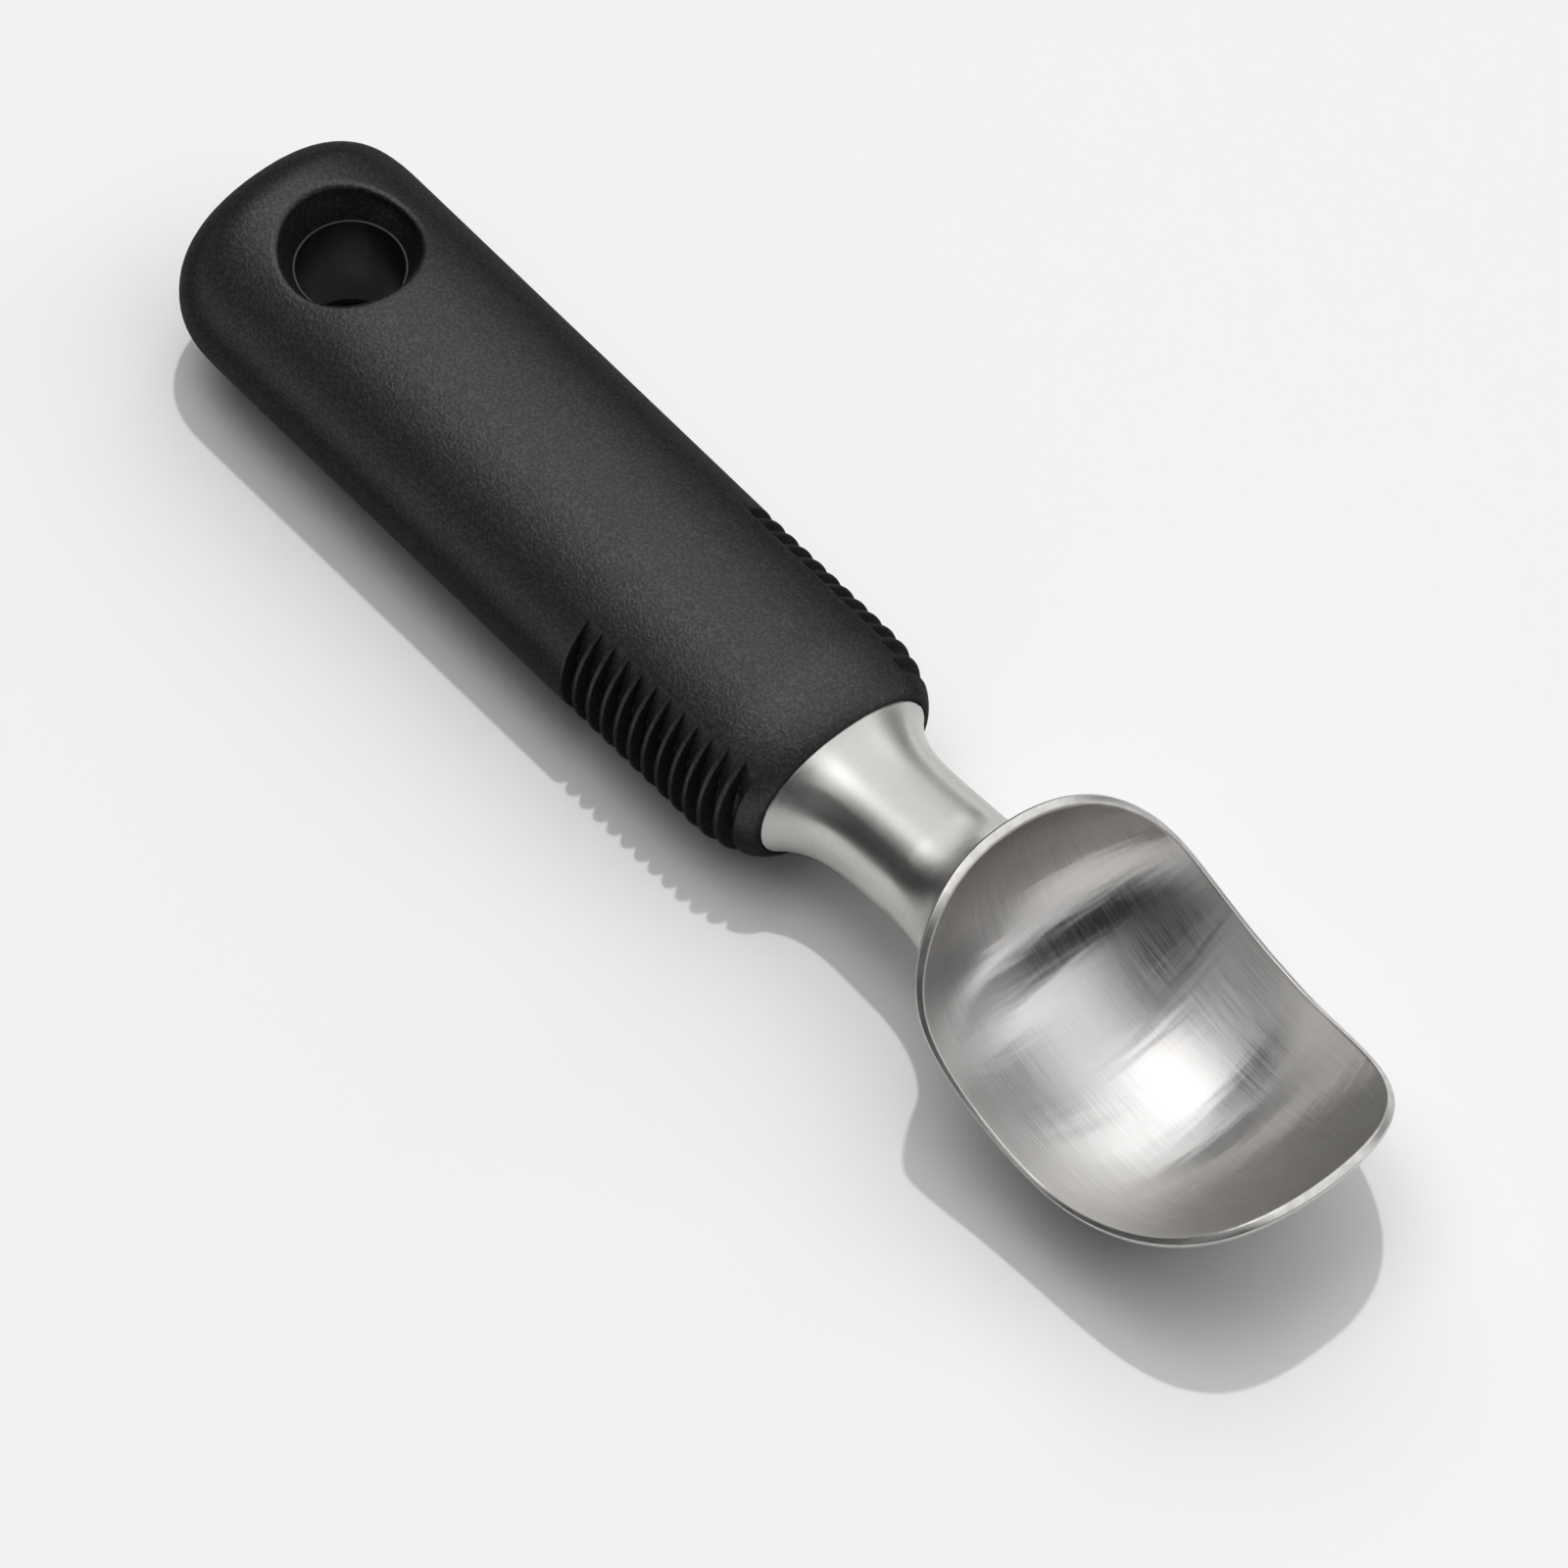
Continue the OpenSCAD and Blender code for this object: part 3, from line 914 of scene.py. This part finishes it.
@dataclass
class CoreForm(OvalBar):
    """The rigid core: a tapered oval bar with a round eye for the hanging hole."""

    seat_x: float
    rear_x: float
    axis_z: float
    hole: HangingHole
    front_w: float = 27.0
    front_h: float = 20.0
    rear_w: float = 25.2
    rear_h: float = 15.4
    rear_round: float = 8.0
    rear_ease: float = 2.2
    square: float = 2.15
    socket_w: float = 12.2
    socket_h: float = 9.2
    socket_len: float = 68.1
    socket_square: float = 8.0
    eye_edge: float = 0.3
    edge: float = 0.14
    edge_turns: Tuple[float, ...] = (22.5, 45, 67.5, 90)

    def half_sizes(self, x: Any) -> Tuple[Any, Any]:
        """Gives half the width and half the height at a place along the core.

        Args:
            x: The place along X.

        Returns:
            The two halves.
        """
        back = (self.seat_x - x) / (self.seat_x - self.rear_x)
        full = rounding((x - self.rear_x) / self.rear_round, self.rear_ease)
        return (mix(self.front_w, self.rear_w, back) / 2 * full,
                mix(self.front_h, self.rear_h, back) / 2 * full)

    def ring(self, x: float, angles: np.ndarray, proud: float = 0.0) -> np.ndarray:
        """Makes one section of the core, or of the hollow round it."""
        half_w, half_h = self.half_sizes(x)
        return oval(x, float(half_w) + proud, float(half_h) + proud, self.axis_z, self.square, angles)

    def places(self, window_places: np.ndarray) -> np.ndarray:
        """Lists where the sections stand: the rounding, the window and the bar in front of it.

        Args:
            window_places: Where sections stand along the hole's window.

        Returns:
            All the places.
        """
        rear_end = window_places[0]
        rear = self.rear_x + (rear_end - self.rear_x) * np.linspace(0.12, 0.9, 7) ** 2
        front = np.linspace(window_places[-1], self.seat_x, 14)[1:]
        return np.concatenate([rear, window_places, front])

    def eye_rings(self, border: np.ndarray, toward: np.ndarray, side: int,
                  proud: float) -> List[np.ndarray]:
        """Makes the rings from the window's border to the foot of the eye.

        Args:
            border: The points of the window's border.
            toward: The directions of the hole's rings.
            side: 1 on top, -1 below.
            proud: How far the surface stands off the core.

        Returns:
            The rings, the last of them at the eye's radius.
        """
        target = self.hole.circle(toward, self.hole.eye_r + proud, 0.0)
        rings = []
        for share in (0.35, 0.7, 1.0):
            flat = mix(border[:, :2], target[:, :2], share)
            height = self.axis_z + side * (self.crown(flat) + proud)
            rings.append(np.column_stack([flat, height]))
        return rings

    def build(self, window_places: np.ndarray, angles: np.ndarray, finish: Material) -> Piece:
        """Builds the core with its eye, bore and socket.

        Args:
            window_places: Where sections stand along the hole's window.
            angles: Angles of the points round each section.
            finish: The core's material.

        Returns:
            The piece.
        """
        skin = Skin()
        hole = self.hole
        places = self.places(window_places)
        window = hole.window(places, window_places, len(angles))
        grid = loft(skin, [self.ring(x, angles) for x in places], window)
        skin.fan(grid[0], np.array([self.rear_x, 0.0, self.axis_z]))
        ends = []
        for side in SIDES:
            border = window.border(grid, side)
            rows = skin.rows(border)
            toward = hole.directions(rows)
            rings = self.eye_rings(rows, toward, side, 0.0)
            eye = self.axis_z + side * hole.eye_half_h
            profile = [(hole.eye_r, self.eye_edge), (hole.eye_r - self.eye_edge, 0.0),
                       (hole.bore_r + self.edge, 0.0)]
            for angle in np.radians(self.edge_turns):
                out, down = 1 - math.sin(angle), 1 - math.cos(angle)
                profile.append((hole.bore_r + self.edge * out, self.edge * down))
            rings += [hole.circle(toward, radius, eye - side * down) for radius, down in profile]
            ends.append(skin.chain(border, rings))
        skin.band(ends[0], ends[1])
        socket = oval(self.seat_x, self.socket_w / 2, self.socket_h / 2, self.axis_z,
                      self.socket_square, angles)
        end = skin.chain(grid[-1], [socket, socket - [self.socket_len, 0.0, 0.0]])
        skin.fan(end, np.array([self.seat_x - self.socket_len, 0.0, self.axis_z]))
        return skin.build("core_moulding", [finish])


@dataclass
class FinnedGrip:
    """The soft grip: a hollow oval sleeve with finger slots and a dished hanging hole."""

    form: GripForm
    hole: HangingHole
    core: CoreForm
    gap: float = 0.03
    mouth_wall: float = 0.12
    mouth_setback: float = 0.2

    def window_places(self) -> np.ndarray:
        """Lists where sections stand along the hole's window."""
        places, _ = self.form.stations()
        return self.hole.window_places(places)

    def _dish(self, skin: Skin, border: np.ndarray, toward: np.ndarray, side: int) -> np.ndarray:
        """Adds one dish, from the window's border down to the core's eye.

        Args:
            skin: The mesh that grows.
            border: Numbers of the points of the window's border.
            toward: The directions of the hole's rings.
            side: 1 on top, -1 below.

        Returns:
            The numbers of the ring at the bottom of the dish.
        """
        form, hole = self.form, self.hole
        rows = skin.rows(border)
        lip = hole.circle(toward, hole.lip_r, 0.0)
        rings = []
        for share in (0.2, 0.4, 0.6, 0.8, 1.0):
            flat = mix(rows[:, :2], lip[:, :2], share)
            rings.append(np.column_stack([flat, form.axis_z + side * form.crown(flat)]))
        corner_r = hole.mouth_r + hole.lip_corner
        corner = hole.circle(toward, corner_r, 0.0)
        high = form.crown(lip)
        corner_high = form.crown(corner)
        bottom = hole.eye_half_h + self.gap
        drop = corner_high - hole.lip_drop
        for share in np.linspace(0, 1, hole.lip_steps)[1:]:
            first, second, third = (1 - share) ** 2, 2 * share * (1 - share), share ** 2
            radius = first * hole.lip_r + second * corner_r + third * hole.mouth_r
            up = first * high + second * corner_high + third * drop
            rings.append(hole.circle(toward, radius, form.axis_z + side * up))
        foot_r = hole.bore_r + hole.ledge
        for share in (0.33, 0.66, 1.0):
            rings.append(hole.circle(toward, mix(hole.mouth_r, foot_r, share),
                                     form.axis_z + side * mix(drop, bottom, share)))
        return skin.chain(border, rings)

    def build(self, finish: Material) -> Piece:
        """Builds the sleeve with its slots, dishes and hollow.

        Args:
            finish: The rubber.

        Returns:
            The piece.
        """
        form, hole, core = self.form, self.hole, self.core
        skin = Skin()
        angles = form.angles
        places, falls = form.stations()
        patch = self.window_places()
        window = hole.window(places, patch, form.around)
        grid = loft(skin, [form.ring(x, fall) for x, fall in zip(places, falls)], window)
        skin.fan(grid[0], np.array([form.heel_x, 0.0, form.axis_z]))
        inside = core.places(patch)
        hollow = hole.window(inside, patch, form.around)
        cavity = loft(skin, [core.ring(x, angles, self.gap) for x in inside], hollow)
        skin.fan(cavity[0], np.array([core.rear_x - self.gap, 0.0, form.axis_z]))
        mouth = [oval(x, core.front_w / 2 + self.mouth_wall, core.front_h / 2 + self.mouth_wall,
                      form.axis_z, form.square, angles)
                 for x in (core.seat_x, form.lip_x - self.mouth_setback)]
        skin.band(skin.chain(cavity[-1], mouth), grid[-1])
        for side in SIDES:
            border = window.border(grid, side)
            toward = hole.directions(skin.rows(border))
            dish = self._dish(skin, border, toward, side)
            edge = hollow.border(cavity, side)
            rings = core.eye_rings(skin.rows(edge), toward, side, self.gap)
            seat = form.axis_z + side * (hole.eye_half_h + self.gap)
            rings.append(hole.circle(toward, hole.eye_r + self.gap, seat))
            skin.band(skin.chain(edge, rings), dish)
        return skin.build("finned_grip", [finish])


class HeadZone(IntEnum):
    """The zones of finish on the steel head."""

    SATIN = 0
    RIM = 1
    BOWL = 2


@dataclass
class ScoopHead:
    """The one-piece steel head: tang, collar, neck, flare and bowl.

    Each pull is the share of its span that a handle of the keel's curve reaches.
    """

    lip_x: float
    tip_x: float
    axis_z: float
    bowl_len: float = 59.7
    bowl_w: float = 43.8
    bowl_depth: float = 13.0
    hood_h: float = 35.6
    hood_lean: float = 18.0
    tip_h: float = 25.7
    tip_slope: float = 64.0
    belly_setback: float = 28.3
    hood_square: float = 3.0
    tip_square: float = 2.45
    hood_pull: float = 0.75
    rear_pull: float = 0.41
    front_pull: float = 0.4
    tip_pull: float = 0.52
    slope_step: float = 0.6
    lean_share: float = 0.9
    lean_start: float = 20.0
    belly_wall: float = 2.2
    rim_wall: float = 1.5
    rim_edge: float = 0.24
    rim_turns: Tuple[float, ...] = (0, 18, 36, 54, 72, 90)
    side_wall: float = 0.8
    collar_w: float = 27.0
    collar_h: float = 20.0
    collar_len: float = 2.0
    collar_square: float = 2.15
    neck_w: float = 19.0
    neck_h: float = 15.6
    neck_square: float = 2.3
    neck_rise: float = 1.9
    neck_ease: float = 1.3
    waist_reach: float = 15.0
    waist_ease: float = 3.8
    flare_reach: float = 19.0
    flare_top: float = 7.0
    flare_side: float = 6.0
    flare_belly: float = 11.0
    flare_start: float = 0.62
    flare_swing: float = 0.55
    tang_w: float = 12.0
    tang_h: float = 9.0
    tang_len: float = 68.0
    tang_square: float = 8.0
    keel_steps: int = 400
    neck_steps: int = 30
    flare_steps: int = 30
    shell_steps: int = 32
    bowl_steps: int = 60
    texture_x: float = -40.0
    around: int = 240

    def __post_init__(self) -> None:
        """Works out the keel: the bowl's inside line on its middle plane."""
        slope = math.radians(self.tip_slope)
        lean = math.radians(self.hood_lean)
        tip = np.array([self.tip_x - self.rim_wall * math.sin(slope), self.tip_h])
        low = np.array([tip[0] - self.belly_setback, self.belly_wall])
        top = np.array([tip[0] - self.bowl_len, self.hood_h])
        hood_pull = self.hood_pull * (self.hood_h - self.belly_wall)
        tip_pull = self.tip_pull * (self.tip_h - self.belly_wall)
        rear = [top, top - hood_pull * np.array([math.sin(lean), math.cos(lean)]),
                low - np.array([self.rear_pull * (low[0] - top[0]), 0.0]), low]
        front = [low, low + np.array([self.front_pull * self.belly_setback, 0.0]),
                 tip - tip_pull * np.array([math.cos(slope), math.sin(slope)]), tip]
        steps = np.linspace(0, 1, self.keel_steps)[:, None]
        self.keel = np.vstack([bezier(rear, steps), bezier(front, steps)[1:]])
        lengths = np.linalg.norm(np.diff(self.keel, axis=0), axis=1)
        self.run = np.concatenate([[0.0], np.cumsum(lengths)])
        self.middle = self.run[-1] / 2
        self.angles = full_turn(self.around)

    def _keel_at(self, run: np.ndarray) -> Tuple[np.ndarray, np.ndarray]:
        """Gives the keel's X and Z at distances along it."""
        return np.interp(run, self.run, self.keel[:, 0]), np.interp(run, self.run, self.keel[:, 1])

    def inner(self, run: np.ndarray, side: np.ndarray) -> np.ndarray:
        """Gives points of the bowl's inside.

        Args:
            run: Distances along the keel.
            side: Distances from the middle plane.

        Returns:
            One row of X, Y and Z for each.
        """
        low_x, low_z = self._keel_at(np.maximum(run - self.slope_step, 0.0))
        high_x, high_z = self._keel_at(np.minimum(run + self.slope_step, self.run[-1]))
        down = np.maximum(-np.degrees(np.arctan2(high_z - low_z, high_x - low_x)), 0.0)
        lean = np.radians(self.lean_share * down * down / (down + self.lean_start))
        half = self.bowl_w / 2
        radius = (half * half + self.bowl_depth ** 2) / (2 * self.bowl_depth)
        sag = radius - np.sqrt(radius * radius - side * side)
        x, z = self._keel_at(run)
        return np.stack([x + sag * np.sin(lean), side, z + sag * np.cos(lean)], axis=1)

    def into_bowl(self, run: np.ndarray, side: np.ndarray) -> np.ndarray:
        """Gives the direction square to the inside, pointing into the bowl.

        Args:
            run: Distances along the keel.
            side: Distances from the middle plane.

        Returns:
            One unit row for each.
        """
        step = 0.5
        ahead, behind = np.minimum(run + step, self.run[-1]), np.maximum(run - step, 0)
        along = self.inner(ahead, side) - self.inner(behind, side)
        across = self.inner(run, side + step) - self.inner(run, side - step)
        return unit(np.cross(along, across))

    def _ends(self, run: np.ndarray) -> Tuple[np.ndarray, np.ndarray]:
        """Gives the outline's squareness at places, and how far towards its ends they lie."""
        square = np.where(run > self.middle, self.tip_square, self.hood_square)
        return square, np.abs(run - self.middle) / self.middle

    def wall(self, run: np.ndarray, side: np.ndarray) -> np.ndarray:
        """Gives the wall's thickness, from the belly out to the rim.

        Args:
            run: Distances along the keel.
            side: Distances from the middle plane.

        Returns:
            The thicknesses.
        """
        half = self.bowl_w / 2
        square, end = self._ends(run)
        outward = np.minimum(1.0, (end ** square + (np.abs(side) / half) ** square) ** (1 / square))
        rim = mix(self.side_wall, self.rim_wall, end ** 2)
        return mix(self.belly_wall, rim, outward ** 4)

    def outer(self, run: np.ndarray, side: np.ndarray) -> np.ndarray:
        """Gives points of the bowl's outside, straight behind those of the inside."""
        return self.inner(run, side) - self.wall(run, side)[:, None] * self.into_bowl(run, side)

    def outline(self, share: float = 1.0) -> Tuple[np.ndarray, np.ndarray]:
        """Gives the bowl's outline laid flat, or a smaller copy of it round the middle.

        Args:
            share: The size of the copy.

        Returns:
            Distances along the keel and from the middle plane.
        """
        square = np.where(np.cos(self.angles) > 0, self.tip_square, self.hood_square)
        run = self.middle * signed_power(np.cos(self.angles), 2 / square)
        side = self.bowl_w / 2 * signed_power(np.sin(self.angles), 2 / square)
        return self.middle + share * run, share * side

    def lay(self, run: np.ndarray, side: np.ndarray) -> np.ndarray:
        """Gives each place's distance across and along the brush lines.

        The lines run from the hood to the tip, each at a steady share of the bowl's half width.

        Args:
            run: Distances along the keel.
            side: Distances from the middle plane.

        Returns:
            One row for each place, its third number 0.
        """
        square, end = self._ends(run)
        half = self.bowl_w / 2 * np.maximum(1 - np.clip(end, 0, 1) ** square, 1e-6) ** (1 / square)
        across = np.clip(side / half, -1, 1) * self.bowl_w / 2
        return np.stack([across, run, np.zeros_like(run)], axis=1)

    def _section(self, x: float, half_w: float, half_h: float, z: float, square: float) -> np.ndarray:
        """Makes a section whose points start at its underside, to match the bowl's outline."""
        return oval(x, half_w, half_h, z, square, self.angles - math.pi / 2)

    def _neck(self) -> List[np.ndarray]:
        """Makes the sections from the collar to the start of the flare.

        Returns:
            The sections.
        """
        rings = []
        for share in np.linspace(0, 1, self.neck_steps) ** self.neck_ease:
            reach = self.flare_reach * share
            full = max(1 - reach / self.waist_reach, 0.0) ** self.waist_ease
            rings.append(self._section(self.lip_x + reach, mix(self.neck_w, self.collar_w, full) / 2,
                                       mix(self.neck_h, self.collar_h, full) / 2,
                                       self.axis_z + self.neck_rise * share,
                                       mix(self.neck_square, self.collar_square, full)))
        return rings

    def _loops(self) -> Tuple[np.ndarray, np.ndarray, np.ndarray, np.ndarray]:
        """Works out where the neck would meet the bowl, and the loop where its flare ends.

        Returns:
            The distances along the keel and from the middle plane, for each of the two loops.
        """
        end_z = self.axis_z + self.neck_rise
        heights = self.keel[:self.keel_steps][::-1, 1]
        runs = self.run[:self.keel_steps][::-1]
        foot_top = np.interp(end_z + self.neck_h / 2, heights, runs)
        foot_low = np.interp(max(end_z - self.neck_h / 2 + 1.5, self.belly_wall + 1), heights, runs)
        down = (1 + np.cos(self.angles)) / 2
        across = np.sin(self.angles)
        foot_run = mix(foot_top, foot_low, down)
        foot_side = self.neck_w / 2 * across
        root_run = mix(max(foot_top - self.flare_top, 3.5), foot_low + self.flare_belly, down)
        root_side = (self.neck_w / 2 + self.flare_side) * across
        return foot_run, foot_side, root_run, root_side

    def _flare(self, start: np.ndarray) -> List[np.ndarray]:
        """Makes the rings that sweep from the neck into the back of the bowl.

        Args:
            start: The last section of the neck.

        Returns:
            The rings.
        """
        foot_run, foot_side, root_run, root_side = self._loops()
        on_foot = self.outer(foot_run, foot_side)
        on_root = self.outer(root_run, root_side)
        nudge = 0.02
        back = self.outer(mix(root_run, foot_run, nudge), mix(root_side, foot_side, nudge)) - on_root
        swing = self.flare_swing * back / nudge
        path = [start, mix(start, on_foot, self.flare_start), on_root + swing, on_root]
        return [bezier(path, share) for share in np.linspace(0, 1, self.flare_steps + 1)[1:]]

    def _rim(self) -> List[np.ndarray]:
        """Makes the rim's rounded edges and flat face, from the outside to the inside.

        Returns:
            The rings.
        """
        run, side = self.outline()
        into = self.into_bowl(run, side)
        edge = self.inner(run, side)
        thick = self.wall(run, side)[:, None]
        along = unit(np.roll(edge, -1, axis=0) - np.roll(edge, 1, axis=0))
        up = unit(np.cross(along, into))
        inside_run, inside_side = self.outline(0.97)
        toward_rim = edge - self.inner(inside_run, inside_side)
        up *= np.sign((up * toward_rim).sum(axis=1, keepdims=True))
        radius = self.rim_edge * thick
        turns = [(1 - math.cos(angle), 1 - math.sin(angle)) for angle in np.radians(self.rim_turns)]
        outside = [edge - into * (thick - radius * out) - up * radius * down for out, down in turns]
        inside = [edge - into * radius * out - up * radius * down for out, down in reversed(turns)]
        return outside + inside

    def build(self, finishes: Sequence[Material]) -> Piece:
        """Builds the head as one closed mesh.

        Args:
            finishes: The satin, rim and bowl finishes, in the order of HeadZone.

        Returns:
            The piece.
        """
        skin = Skin()
        seat_x = self.lip_x - self.collar_len
        tang_end = seat_x - self.tang_len
        tang = [self._section(x, self.tang_w / 2 * size, self.tang_h / 2 * size, self.axis_z,
                              self.tang_square)
                for x, size in ((tang_end, 0.9), (tang_end + 0.5, 1.0), (seat_x, 1.0))]
        tail = skin.add(tang[0])
        skin.fan(tail, np.array([tang_end, 0.0, self.axis_z]))
        collar = self._section(seat_x, self.collar_w / 2, self.collar_h / 2, self.axis_z,
                               self.collar_square)
        neck = self._neck()
        _, _, root_run, root_side = self._loops()
        run, side = self.outline()
        shell = [self.outer(mix(root_run, run, share), mix(root_side, side, share))
                 for share in np.linspace(0, 1, self.shell_steps + 1)[1:-1]]
        rim = self._rim()
        body = [*tang[1:], collar, *neck, *self._flare(neck[-1]), *shell, rim[0]]
        edge = skin.chain(tail, body, HeadZone.SATIN)
        edge = skin.chain(edge, rim[1:], HeadZone.RIM)
        shares = np.linspace(0.985, 0.01, self.bowl_steps)
        bowl = [self.inner(*self.outline(share)) for share in shares]
        edge = skin.chain(edge, bowl, HeadZone.BOWL)
        centre = self.inner(np.array([self.middle]), np.array([0.0]))
        skin.fan(edge, centre, HeadZone.BOWL)
        piece = skin.build("steel_head", finishes)
        self._mark_lay(piece, shares)
        return piece

    def _mark_lay(self, piece: Piece, shares: np.ndarray) -> None:
        """Stores the brush lines' coordinates on the bowl's points, which are the mesh's last ones.

        The texture space's middle is far off along X, so the steel's tangent runs along Y.

        Args:
            piece: The head.
            shares: The sizes of the bowl's rings inside the rim.
        """
        rows = [self.lay(*self.outline(share)) for share in (1.0, *shares)]
        rows.append(self.lay(np.array([self.middle]), np.array([0.0])))
        marks = np.vstack(rows)
        whole = np.zeros((len(piece.data.vertices), 3))
        whole[-len(marks):] = marks
        stored = piece.data.attributes.new(LAY, "FLOAT_VECTOR", "POINT")
        stored.data.foreach_set("vector", whole.astype(np.float32).ravel())
        piece.data.use_auto_texspace = False
        piece.data.texspace_location = (self.texture_x, 0.0, 0.0)
        piece.data.texspace_size = (1.0, 1.0, 1.0)


@dataclass(frozen=True)
class Softbox:
    """One soft patch of light in the studio, seen from the scoop.

    Its tilt is in degrees from straight up towards +X, and its side is the share of the direction
    that points to +Y. Both fall off softly beyond half its size.
    """

    tilt: float
    half_tilt: float
    soft_tilt: float
    side: float
    half_side: float
    soft_side: float
    level: float

    def share(self, g: Graph, tilt: Value, side: Value) -> Value:
        """Gives the box's light towards each direction.

        Args:
            g: The world's tree.
            tilt: The direction's tilt.
            side: The direction's side.

        Returns:
            The light.
        """
        along, across = (tilt - self.tilt).size(), (side - self.side).size()
        along = g.remap(along, self.half_tilt, self.half_tilt + self.soft_tilt, 1.0, 0.0)
        across = g.remap(across, self.half_side, self.half_side + self.soft_side, 1.0, 0.0)
        return along * across * self.level


@dataclass
class Studio:
    """The table, the lights and the camera."""

    camera_azimuth: float = 49.3
    camera_elevation: float = 55.5
    camera_distance: float = 5.0
    view_width: float = 0.19753
    aim: Tuple[float, float, float] = (0.0004, 0.0001, -0.0003)
    key_azimuth: float = 129.0
    key_elevation: float = 72.3
    key_strength: float = 1.06
    key_spread: float = 1.6
    table_half: float = 30.0
    backdrop: float = 0.88
    boxes: Tuple[Softbox, ...] = (
        Softbox(0.9, 45.0, 10.4, 0.29, 0.34, 0.28, 1.26),
        Softbox(-7.2, 11.5, 8.5, -0.20, 0.22, 0.16, 1.75),
        Softbox(-50.5, 2.1, 6.3, 0.25, 0.16, 0.17, 1.40),
        Softbox(-4.0, 22.0, 8.0, -0.82, 0.17, 0.12, 0.3),
        Softbox(94.7, 7.4, 11.0, 0.78, 0.19, 0.13, 2.56),
        Softbox(-89.9, 12.3, 6.1, 0.82, 0.20, 0.17, 2.25),
        Softbox(56.7, 10.6, 12.8, 0.82, 0.15, 0.18, 0.84),
        Softbox(-21.1, 7.5, 9.4, 0.84, 0.16, 0.23, 0.85),
        Softbox(79.3, 2.2, 6.9, 0.11, 0.50, 0.15, 0.79),
    )

    def set_table(self) -> None:
        """Makes the wide pale table."""
        mesh = bpy.data.meshes.new("table")
        low, high = -self.table_half, self.table_half
        corners = [(low, low, 0), (high, low, 0), (high, high, 0), (low, high, 0)]
        mesh.from_pydata(corners, [], [(0, 1, 2, 3)])
        mesh.materials.append(TableTop().make())
        put("table", mesh)

    def set_world(self) -> None:
        """Makes the soft surroundings from the softboxes, with an even backdrop past the table's edge."""
        world = bpy.data.worlds.new("studio")
        bpy.context.scene.world = world
        world.use_nodes = True
        g = Graph(world.node_tree)
        seen = g.add("ShaderNodeTexCoord", output="Generated")
        across, side, up = (g.add("ShaderNodeSeparateXYZ", {0: seen}, output=axis) for axis in "XYZ")
        tilt = g.add("ShaderNodeMath", {0: across, 1: up}, {"operation": "ARCTAN2"}) * math.degrees(1.0)
        shares = [box.share(g, tilt, side) for box in self.boxes]
        to_eye = g.add("ShaderNodeLightPath", output="Is Camera Ray")
        strength = sum(shares[1:], shares[0]) * (1 - to_eye) + to_eye * self.backdrop
        light = g.add("ShaderNodeBackground", {"Color": (1.0, 1.0, 1.0, 1.0), "Strength": strength})
        g.add("ShaderNodeOutputWorld", {"Surface": light})

    def set_key(self) -> None:
        """Makes the key light, small enough to give the shadow a clean edge."""
        lamp = bpy.data.lights.new("key", "SUN")
        lamp.energy = self.key_strength
        lamp.angle = math.radians(self.key_spread)
        put("key", lamp, -direction(self.key_azimuth, self.key_elevation)).visible_glossy = False

    def set_camera(self) -> None:
        """Places the long lens at the photograph's angle, with azimuth 0 looking along +Y."""
        back = direction(self.camera_azimuth - 90.0, self.camera_elevation)
        lens = bpy.data.cameras.new("camera")
        lens.sensor_width = 36.0
        lens.lens = lens.sensor_width * self.camera_distance / self.view_width
        lens.clip_start, lens.clip_end = 0.1, 100.0
        camera = put("camera", lens, -back)
        camera.location = Vector(self.aim) + back * self.camera_distance
        bpy.context.scene.camera = camera

    def build(self) -> None:
        """Sets the whole studio."""
        self.set_camera()
        self.set_table()
        self.set_world()
        self.set_key()
        bpy.context.scene.view_settings.view_transform = "Standard"


def dress(piece: Piece, node: str) -> None:
    """Lets a piece stand for a node of the frame and reports it.

    Args:
        piece: The new piece.
        node: The node that it replaces.
    """
    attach(piece, "root")
    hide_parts(node)
    LOG.info("%s replaces %s, %d faces", piece.name, node, len(piece.data.polygons))


def main() -> None:
    """Builds the studio and each sub-assembly in turn."""
    logging.basicConfig(level=logging.INFO, format="%(name)s: %(message)s")
    Studio().build()

    form = GripForm.from_frame()
    core_low, core_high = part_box("handle_core")
    hole = HangingHole(x=form.heel_x + HOLE_SETBACK)
    core = CoreForm(seat_x=core_high.x / MM, rear_x=core_low.x / MM, axis_z=form.axis_z, hole=hole)
    grip = FinnedGrip(form, hole, core)
    dress(grip.build(GripRubber().make()), "grip_sleeve")
    core_moulding = core.build(grip.window_places(), form.angles, GlossCore().make())
    dress(core_moulding, "handle_core")

    _, head_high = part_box("scoop_head")
    head = ScoopHead(lip_x=form.lip_x, tip_x=head_high.x / MM, axis_z=form.axis_z)
    finishes = [SatinSteel().make(), PolishedRim().make(), BrushedBowl().make()]
    dress(head.build(finishes), "scoop_head")

    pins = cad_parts["tang_pins"]
    pins.data.materials.clear()
    pins.data.materials.append(GroundPin().make())
    LOG.info("tang_pins keeps its own solid")


if __name__ == "__main__":
    main()
